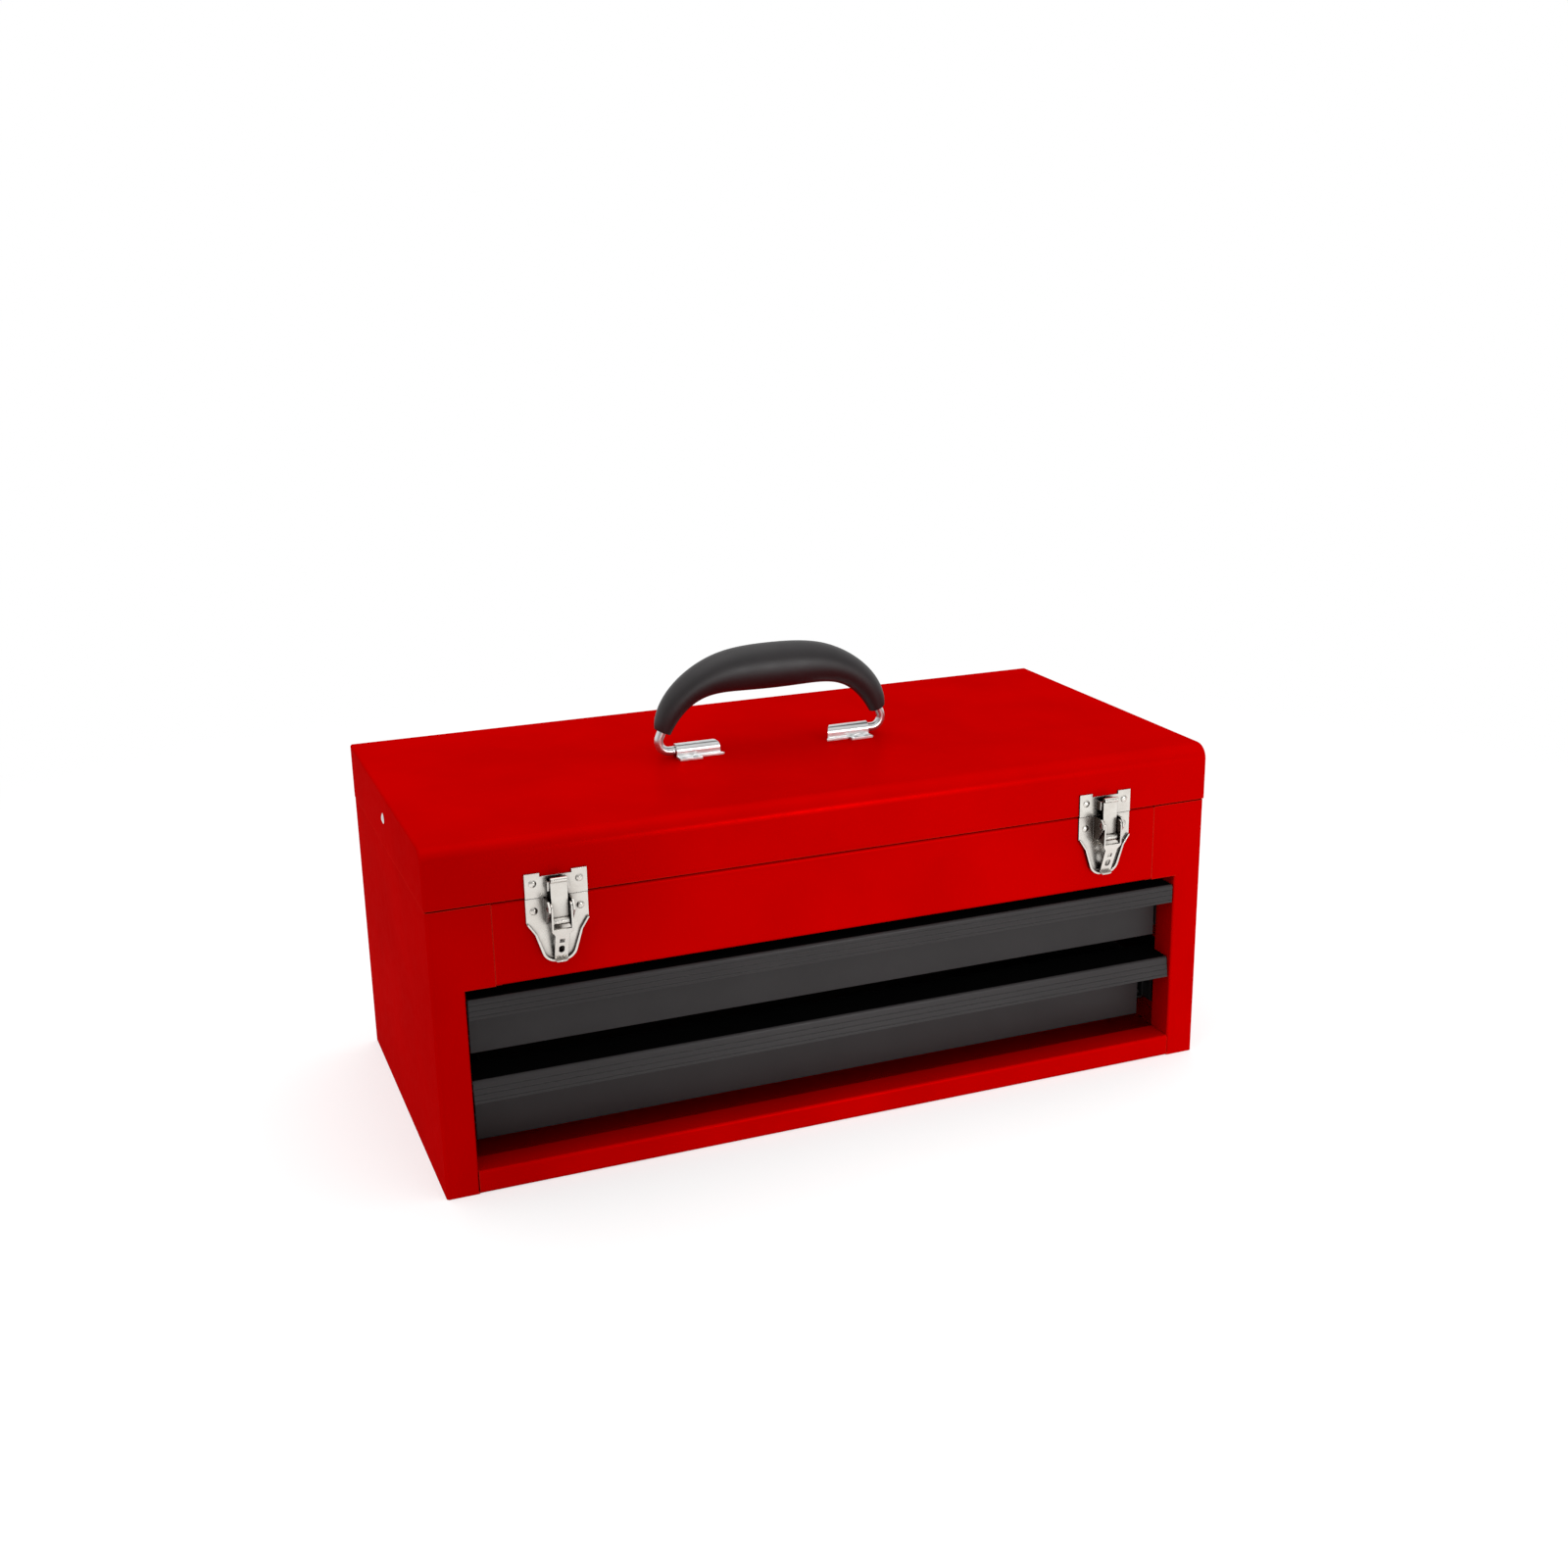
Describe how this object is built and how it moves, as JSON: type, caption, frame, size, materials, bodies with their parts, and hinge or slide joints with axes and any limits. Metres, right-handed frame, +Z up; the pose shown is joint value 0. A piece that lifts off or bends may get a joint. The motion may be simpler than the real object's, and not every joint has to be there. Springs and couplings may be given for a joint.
{
  "type": "portable tool box",
  "caption": "Red steel portable tool box with a lift-up lid over a top well, black drawers on ball slides, draw latches and a folding bail handle with a black grip.",
  "frame": {"origin": "middle of the flat underside, on the plane that the box stands on", "axes": "+X to the right seen from the front, +Y to the back, +Z up; the drawers open towards -Y"},
  "size_m": [0.523, 0.2663, 0.2904],
  "materials": {
    "red_enamel": "gloss",
    "black_enamel": "satin",
    "drawer_front_enamel": "satin",
    "black_slide_steel": "satin",
    "zinc_plate": "satin",
    "nickel_plate": "bright",
    "bearing_steel": "polished",
    "black_grip": "matte"
  },
  "bodies": {
    "carcass": {"left_side_panel": "red_enamel", "right_side_panel": "red_enamel", "back_panel": "red_enamel", "bottom_pan": "red_enamel", "front_panel": "red_enamel", "well_floor": "red_enamel", "upper_slide_bracket_left": "black_slide_steel", "upper_slide_bracket_right": "black_slide_steel", "lower_slide_bracket_left": "black_slide_steel", "lower_slide_bracket_right": "black_slide_steel", "upper_slide_outer_left": "black_slide_steel", "upper_slide_outer_right": "black_slide_steel", "lower_slide_outer_left": "black_slide_steel", "lower_slide_outer_right": "black_slide_steel", "slide_bracket_rivets": "black_slide_steel", "hinge_body_leaf": "zinc_plate", "hinge_pin": "zinc_plate", "latch_base_left": "nickel_plate", "latch_base_right": "nickel_plate", "latch_base_rivets": "nickel_plate", "latch_pivot_rivets": "nickel_plate", "stay_body_studs": "zinc_plate"},
    "lid": {"lid_shell": "red_enamel", "hinge_lid_leaf": "zinc_plate", "handle_bracket_left": "zinc_plate", "handle_bracket_right": "zinc_plate", "handle_bracket_rivets": "zinc_plate", "latch_catch_left": "nickel_plate", "latch_catch_right": "nickel_plate", "latch_catch_rivets": "nickel_plate", "stay_lid_rivets": "zinc_plate"},
    "handle": {"handle_wire": "zinc_plate", "handle_grip": "black_grip"},
    "latch_lever_left": {"latch_lever_left": "nickel_plate", "latch_link_pin_left": "nickel_plate"},
    "latch_link_left": {"latch_link_left": "nickel_plate"},
    "latch_lever_right": {"latch_lever_right": "nickel_plate", "latch_link_pin_right": "nickel_plate"},
    "latch_link_right": {"latch_link_right": "nickel_plate"},
    "stay_lid_links": {"stay_lid_link_left": "zinc_plate", "stay_lid_link_right": "zinc_plate"},
    "stay_body_links": {"stay_body_link_left": "zinc_plate", "stay_body_link_right": "zinc_plate", "stay_knee_rivets": "zinc_plate"},
    "upper_drawer": {"upper_drawer_tray": "black_enamel", "upper_drawer_front": "drawer_front_enamel", "upper_drawer_rivets": "zinc_plate", "upper_slide_inner_left": "black_slide_steel", "upper_slide_inner_right": "black_slide_steel"},
    "upper_ball_cages": {"upper_slide_cage_left": "black_slide_steel", "upper_slide_cage_right": "black_slide_steel", "upper_slide_balls": "bearing_steel"},
    "lower_drawer": {"lower_drawer_tray": "black_enamel", "lower_drawer_front": "drawer_front_enamel", "lower_drawer_rivets": "zinc_plate", "lower_slide_inner_left": "black_slide_steel", "lower_slide_inner_right": "black_slide_steel"},
    "lower_ball_cages": {"lower_slide_cage_left": "black_slide_steel", "lower_slide_cage_right": "black_slide_steel", "lower_slide_balls": "bearing_steel"}
  },
  "joints": [
    {"name": "lid_hinge", "type": "hinge", "parent": "carcass", "child": "lid", "pos_m": [0, 0.1267, 0.1827], "axis": [-1, 0, 0], "range_deg": [0, 95]},
    {"name": "handle_fold", "type": "hinge", "parent": "lid", "child": "handle", "pos_m": [0, -0.002, 0.2245], "axis": [-1, 0, 0], "range_deg": [-70, 70]},
    {"name": "stay_lid_link_pivot", "type": "hinge", "parent": "lid", "child": "stay_lid_links", "pos_m": [0, 0, 0.203], "axis": [-1, 0, 0], "range_deg": [-95, 0]},
    {"name": "stay_body_link_pivot", "type": "hinge", "parent": "carcass", "child": "stay_body_links", "pos_m": [0, 0.078, 0.1485], "axis": [-1, 0, 0], "range_deg": [0, 95]},
    {"name": "upper_drawer_slide", "type": "slide", "parent": "carcass", "child": "upper_drawer", "axis": [0, -1, 0], "range_m": [0, 0.16]},
    {"name": "upper_cage_slide", "type": "slide", "parent": "carcass", "child": "upper_ball_cages", "axis": [0, -1, 0], "range_m": [0, 0.08]},
    {"name": "lower_drawer_slide", "type": "slide", "parent": "carcass", "child": "lower_drawer", "axis": [0, -1, 0], "range_m": [0, 0.148]},
    {"name": "lower_cage_slide", "type": "slide", "parent": "carcass", "child": "lower_ball_cages", "axis": [0, -1, 0], "range_m": [0, 0.074]},
    {"name": "latch_lever_left_pivot", "type": "hinge", "parent": "carcass", "child": "latch_lever_left", "pos_m": [-0.1833, -0.134, 0.178], "axis": [-1, 0, 0], "range_deg": [0, 105]},
    {"name": "latch_link_left_pivot", "type": "hinge", "parent": "latch_lever_left", "child": "latch_link_left", "pos_m": [-0.1833, -0.132, 0.169], "axis": [-1, 0, 0], "range_deg": [-105, 0]},
    {"name": "latch_lever_right_pivot", "type": "hinge", "parent": "carcass", "child": "latch_lever_right", "pos_m": [0.1833, -0.134, 0.178], "axis": [-1, 0, 0], "range_deg": [0, 105]},
    {"name": "latch_link_right_pivot", "type": "hinge", "parent": "latch_lever_right", "child": "latch_link_right", "pos_m": [0.1833, -0.132, 0.169], "axis": [-1, 0, 0], "range_deg": [-105, 0]}
  ],
  "couplings": [
    {"joint": "stay_lid_link_pivot", "follows": "lid_hinge", "ratio": -1},
    {"joint": "stay_body_link_pivot", "follows": "lid_hinge", "ratio": 1},
    {"joint": "upper_cage_slide", "follows": "upper_drawer_slide", "ratio": 0.5},
    {"joint": "lower_cage_slide", "follows": "lower_drawer_slide", "ratio": 0.5},
    {"joint": "latch_link_left_pivot", "follows": "latch_lever_left_pivot", "ratio": -1},
    {"joint": "latch_link_right_pivot", "follows": "latch_lever_right_pivot", "ratio": -1}
  ]
}
